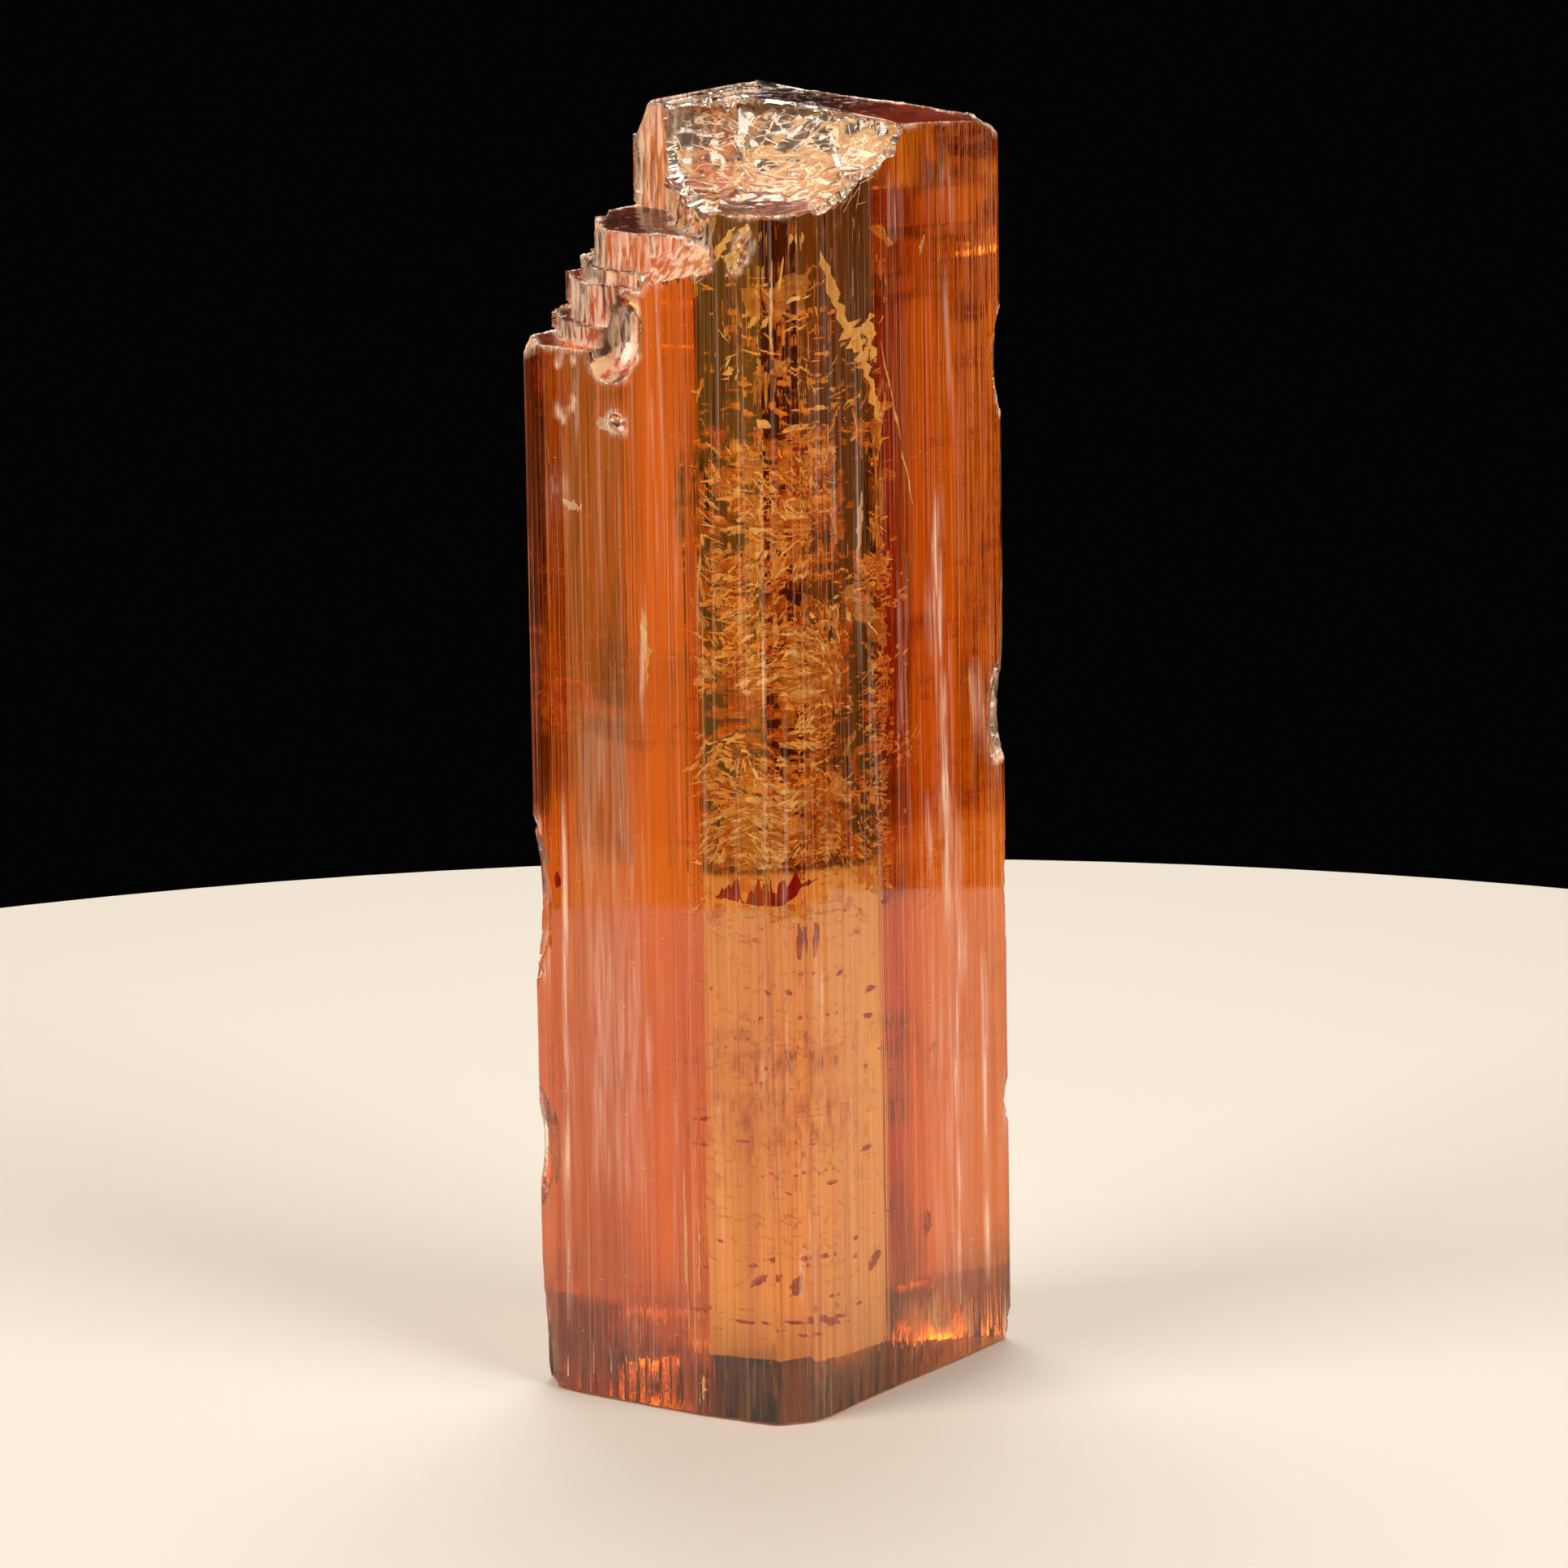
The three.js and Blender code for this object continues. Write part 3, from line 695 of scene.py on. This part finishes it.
# Single grains: kind, x, z, half-length, half-width, depth, turn.
GRAINS = [
    ("brown_grains", -0.65, 5.02, 0.36, 0.15, 1.6, 0.6), ("brown_grains", 0.62, 4.85, 0.5, 0.2, 1.6, 1.1),
    ("brown_grains", 1.65, 3.4, 0.42, 0.15, 2.0, -0.35), ("brown_grains", 3.2, 4.85, 0.42, 0.2, 2.4, 0.8),
    ("brown_grains", 3.96, 6.43, 0.45, 0.06, 1.2, 0.1), ("brown_grains", 5.4, 11.7, 0.35, 0.05, 1.0, 0.6),
    ("brown_grains", 3.3, 14.5, 0.3, 0.12, 2.0, 0.3), ("brown_grains", -1.17, 9.85, 0.28, 0.05, 1.8, 0.0),
    ("brown_grains", 3.1, 8.96, 0.35, 0.09, 2.0, 0.2), ("brown_grains", 5.26, 5.5, 0.25, 0.5, 1.0, 0.1),
    ("brown_grains", 1.4, 16.8, 0.55, 0.16, 2.5, 1.5), ("brown_grains", 3.25, 13.6, 0.25, 0.1, 2.2, 0.0),
    ("brown_grains", 0.35, 8.1, 0.16, 0.04, 1.5, -0.5), ("brown_grains", 2.6, 5.9, 0.16, 0.08, 2.0, 0.4),
    ("brown_grains", -0.1, 12.5, 0.08, 0.07, 1.0, 0.0), ("brown_grains", -6.0, 17.9, 0.06, 0.05, 0.6, 0.0),
    ("red_inclusions", -7.47, 18.1, 0.3, 0.14, 0.35, 1.5),
    ("red_inclusions", 3.75, 17.4, 0.28, 0.12, 1.0, 0.3),
    ("red_inclusions", -1.05, 42.75, 0.55, 0.17, 0.15, 0.5),
    ("red_inclusions", -0.85, 43.0, 0.32, 0.1, 0.15, -0.1),
    ("red_inclusions", 3.2, 36.5, 0.16, 0.13, 0.5, 0.4),
    ("red_inclusions", 0.95, 33.5, 0.16, 0.08, 1.5, 0.0), ("pale_cracks", 1.68, 20.5, 0.12, 0.12, 0.6, 0.0),
    ("pale_cracks", 5.5, 34.9, 0.3, 0.16, 0.4, 0.2), ("pale_cracks", 5.3, 39.6, 0.34, 0.1, 0.3, 1.2),
    ("pale_cracks", -5.35, 34.1, 0.42, 0.22, 0.35, -0.2),
]
for kind, x, z, half_long, half_wide, deep, turn in GRAINS:
    facing_flake(kind, x, z, half_long, half_wide, deep, turn, ragged=0.3, rim=13)
for _ in range(46):  # loose scatter of the same grains in the lower half
    z = rng.uniform(2.0, 16.5)
    left, right = zone_edges(z)
    size = rng.uniform(0.02, 0.09)
    facing_flake("brown_grains", rng.uniform(left, right + 0.8), z, size * rng.uniform(1, 3), size,
                 rng.uniform(0.8, 8.0), turn=rng.uniform(-0.6, 0.6))
for _ in range(26):  # an orange-red cloud at the left end
    x, z = max(-6.7 + rng.normal(0, 0.5), -7.4), 24.5 + rng.normal(0, 0.3)
    facing_flake("ember_veils", x, z, rng.uniform(0.25, 0.8), rng.uniform(0.1, 0.3), rng.uniform(0.4, 1.6),
                 turn=rng.normal(0, 0.15), rim=17)

# Orange clusters: middle x and z, spread in x and z, count, slope.
CLUSTERS = [
    (3.9, 28.8, 0.35, 0.35, 34, 0.2), (4.3, 27.9, 0.25, 0.25, 14, 0.2), (4.05, 22.8, 0.4, 0.2, 34, 0.0),
    (4.97, 22.7, 0.14, 0.25, 18, 1.2), (5.4, 18.7, 0.2, 0.2, 14, 0.0), (3.95, 25.2, 0.1, 0.4, 14, 1.3),
    (-1.9, 28.3, 0.45, 0.1, 24, -0.2), (-1.0, 26.9, 0.4, 0.25, 22, -0.6), (0.6, 22.3, 0.5, 0.15, 18, 0.2),
    (-1.6, 21.4, 0.5, 0.3, 22, 0.3), (5.2, 17.3, 0.15, 0.3, 10, 0.5),
]
for x, z, spread_x, spread_z, count, slope in CLUSTERS:
    for _ in range(count):
        facing_flake("orange_flecks", x + rng.normal(0, spread_x), z + rng.normal(0, spread_z),
                     rng.uniform(0.06, 0.24), rng.uniform(0.02, 0.08), rng.uniform(0.4, 1.6),
                     turn=slope + rng.normal(0, 0.4))
for _ in range(46):  # orange crumbs beside the clear zone's right end
    facing_flake("orange_flecks", rng.normal(4.1, 0.35), rng.uniform(17.8, 30), rng.uniform(0.05, 0.22),
                 rng.uniform(0.03, 0.12), rng.uniform(0.5, 2.0), turn=rng.uniform(-0.6, 0.6))

# Healed and open cracks: kind, start, end, width, depth.
STREAKS = [
    ("gold_cracks", (1.75, 40.0), (2.75, 37.0), 0.26, 0.5),
    ("gold_cracks", (2.6, 37.5), (3.25, 36.0), 0.65, 0.5),
    ("gold_cracks", (3.1, 36.6), (3.8, 33.8), 0.2, 0.5),
    ("gold_cracks", (3.4, 37.6), (3.5, 36.0), 0.3, 0.8),
    ("gold_cracks", (3.8, 36.6), (4.9, 30.8), 0.05, 0.5),
    ("gold_cracks", (-0.6, 41.0), (-1.3, 39.2), 0.3, 0.5),
    ("gold_cracks", (-1.0, 40.9), (-1.75, 39.6), 0.2, 0.5),
    ("golden_veils", (-2.75, 0.3), (-2.6, 1.4), 0.12, 0.4),
    ("golden_veils", (-2.3, 0.15), (-2.2, 1.5), 0.1, 0.4),
    ("golden_veils", (-4.3, 27.9), (-4.1, 25.2), 0.2, 0.6),
    ("golden_veils", (-3.2, 8.6), (-3.1, 2.2), 0.1, 0.4),
    ("golden_veils", (-2.7, 7.2), (-2.75, 3.2), 0.06, 0.4),
    ("red_inclusions", (-5.5, 39.0), (-5.35, 37.6), 0.2, 0.25),
    ("red_inclusions", (-4.9, 38.9), (-4.8, 37.4), 0.16, 0.3),
    ("pale_cracks", (-7.0, 31.3), (-6.3, 31.1), 0.3, 0.25),
    ("pale_cracks", (-5.0, 39.0), (-4.4, 36.4), 0.1, 0.3),
    ("brown_grains", (-0.12, 16.2), (0.1, 1.6), 0.03, 0.3),
    ("pale_cracks", (3.1, 32.0), (3.0, 29.0), 0.08, 1.2),
    ("pale_cracks", (0.2, 39.8), (0.15, 37.0), 0.06, 0.6),
]
for kind, start, end, width, deep in STREAKS:
    streak(kind, start, end, width, deep, stations=14, drift=width * 0.35)

KINDS = {
    "golden_veils": mineral("golden_veil", (1.0, 0.6, 0.14), (1.0, 0.9, 0.5), 0.35, 0.95),
    "gold_cracks": mineral("gold_crack", (1.0, 0.54, 0.12), (1.0, 0.82, 0.34), 0.4, 0.95),
    "soft_veils": mineral("soft_veil", (1.0, 0.5, 0.1), (1.0, 0.75, 0.3), 0.5, 0.35),
    "brown_veils": mineral("brown_veil", (0.62, 0.26, 0.1), (0.8, 0.45, 0.2), 0.5, 0.24),
    "cloud_veils": mineral("cloud_veil", (0.9, 0.42, 0.18), (1.0, 0.6, 0.32), 0.5, 0.06),
    "ember_veils": mineral("ember_veil", (1.0, 0.16, 0.01), (1.0, 0.3, 0.03), 0.5, 0.16),
    "red_inclusions": mineral("red_inclusion", (0.28, 0.006, 0.002), (0.46, 0.016, 0.006), 0.4),
    "brown_grains": mineral("brown_grain", (0.42, 0.09, 0.02), (0.62, 0.2, 0.06), 0.5),
    "pale_cracks": mineral("pale_crack", (1.0, 0.78, 0.62), (1.0, 0.93, 0.84), 0.3, 0.75),
    "orange_flecks": mineral("orange_fleck", (0.95, 0.35, 0.04), (1.0, 0.6, 0.12), 0.4),
}
for kind, (verts, faces) in plates.items():
    made = bpy.data.meshes.new(kind)
    made.from_pydata([tuple(v) for v in verts], [], faces)
    made.materials.append(KINDS[kind])
    made.update()
    piece = bpy.data.objects.new(kind, made)
    bpy.context.scene.collection.objects.link(piece)
    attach(piece, "root")
    print(kind, len(faces), "faces")

# ---- Floor, lights and surroundings ----

FLOOR_RADIUS = 85 * MM
FLOOR_TOP = -0.1 * MM  # just under the crystal's base


def disc(name, radius, sides=128):
    """A flat round sheet under the crystal."""
    turn = np.linspace(0, 2 * math.pi, sides, endpoint=False)
    rim = [(radius * math.cos(a), radius * math.sin(a), FLOOR_TOP) for a in turn]
    made = bpy.data.meshes.new(name)
    made.from_pydata(rim, [], [list(range(sides))])
    obj = bpy.data.objects.new(name, made)
    bpy.context.scene.collection.objects.link(obj)
    return obj


floor = disc("floor", FLOOR_RADIUS)
pale = Nodes("floor")
pale.shader.inputs["Base Color"].default_value = (0.43, 0.427, 0.42, 1)
pale.shader.inputs["Roughness"].default_value = 0.7
floor.data.materials.append(pale.material)

AIM_SHARE = 0.98  # how high a light aims on the crystal's axis, as a share of its own height


def softbox(name, azimuth, distance, middle, width, height, glow, colour=(1, 1, 1), aim=None):
    """A soft light. azimuth is in degrees from +X, glow is its brightness, and aim is what it faces."""
    light = bpy.data.lights.new(name, "AREA")
    light.shape = "RECTANGLE"
    light.size, light.size_y = width, height
    light.energy = glow * math.pi * width * height
    light.color = colour
    obj = bpy.data.objects.new(name, light)
    bpy.context.scene.collection.objects.link(obj)
    a = math.radians(azimuth)
    obj.location = (distance * math.cos(a), distance * math.sin(a), middle)
    to = Vector(aim or (0, 0, middle * AIM_SHARE)) - obj.location
    obj.rotation_euler = to.to_track_quat("-Z", "Y").to_euler()
    obj.visible_camera = False


WARM, GOLD, AMBER, PALE = (1.0, 0.72, 0.36), (1.0, 0.7, 0.14), (1.0, 0.55, 0.08), (1.0, 0.88, 0.74)
AROUND = 0.26  # metres from the axis to the lights round the crystal
# The lights that the crystal shows: name, azimuth, height of the middle, width, height, brightness, colour.
LIGHTS = [
    ("right_back_light", 38, -0.03, 0.10, 0.18, 0.75, WARM),
    ("right_side_light", 54, -0.03, 0.045, 0.18, 0.9, WARM),
    ("right_back_high_light", 42, 0.09, 0.14, 0.05, 0.3, WARM),
    ("right_front_light", 334, -0.02, 0.17, 0.20, 1.0, WARM),
    ("left_light", 203, -0.02, 0.10, 0.20, 0.9, GOLD),
    ("back_light", 94, 0.0, 0.13, 0.08, 0.12, WARM),
    ("back_side_light", 141, -0.02, 0.06, 0.20, 0.7, WARM),
    ("front_side_light", 290, -0.02, 0.06, 0.20, 0.5, WARM),
    ("left_front_light", 223, -0.02, 0.06, 0.20, 0.95, AMBER),
    ("back_left_light", 102, 0.083, 0.06, 0.03, 0.35, WARM),
    ("back_right_light", 74, 0.083, 0.07, 0.03, 0.35, WARM),
]
for name, azimuth, middle, width, height, glow, colour in LIGHTS:
    softbox(name, azimuth, AROUND, middle, width, height, glow, colour)
softbox("glint_light", 90, AROUND, 0.087, 0.015, 0.006, 6.0)
for name, azimuth in (("high_left_light", 212), ("high_right_light", 322)):
    softbox(name, azimuth, 0.22, 0.19, 0.14, 0.14, 16.0, PALE, aim=(0, 0, 0.025))
softbox("top_light", 90, 0.10, 0.17, 0.12, 0.12, 8.5, (1.0, 0.9, 0.78), aim=(0, 0.04, 0))

world = bpy.data.worlds.new("dark")
bpy.context.scene.world = world
world.use_nodes = True
world.node_tree.nodes["Background"].inputs["Color"].default_value = (0.001, 0.001, 0.001, 1)
world.node_tree.nodes["Background"].inputs["Strength"].default_value = 1.0

scene = bpy.context.scene
scene.view_settings.view_transform = "Standard"
scene.cycles.max_bounces = 12
scene.cycles.transmission_bounces = 12
scene.cycles.glossy_bounces = 4
scene.cycles.diffuse_bounces = 2
